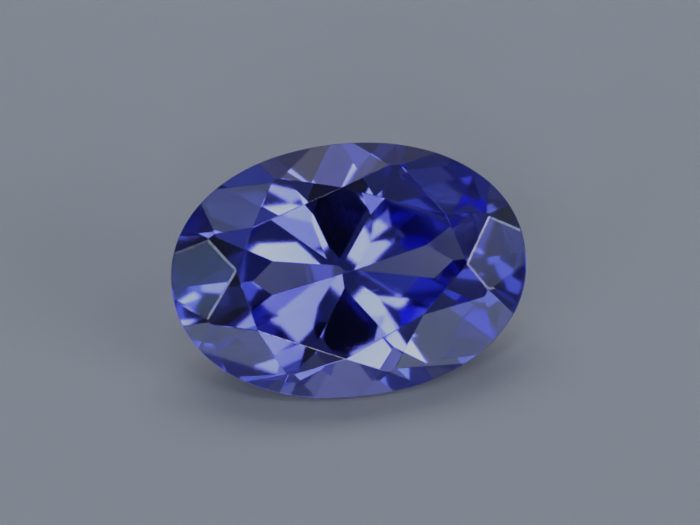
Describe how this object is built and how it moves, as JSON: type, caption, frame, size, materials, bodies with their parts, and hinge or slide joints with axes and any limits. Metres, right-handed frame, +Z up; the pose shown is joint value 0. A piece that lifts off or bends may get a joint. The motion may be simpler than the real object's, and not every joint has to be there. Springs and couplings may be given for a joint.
{
  "type": "oval brilliant-cut tanzanite",
  "caption": "Cut and polished blue-violet gemstone: an oval brilliant with a flat table, faceted crown, thin girdle and pointed pavilion, lying loose on one long facet.",
  "frame": {"origin": "on the ground below the middle of the stone's box, with the stone lying on its south pavilion main", "axes": "+X along the oval's long axis, +Z up from the ground, -Y towards the side that the table leans to"},
  "size_m": [0.007, 0.0036, 0.0036],
  "materials": {
    "tanzanite": "clear polished blue-violet crystal, see-through, with a finely ground girdle"
  },
  "bodies": {
    "root": {"tanzanite": "tanzanite"}
  },
  "joints": []
}
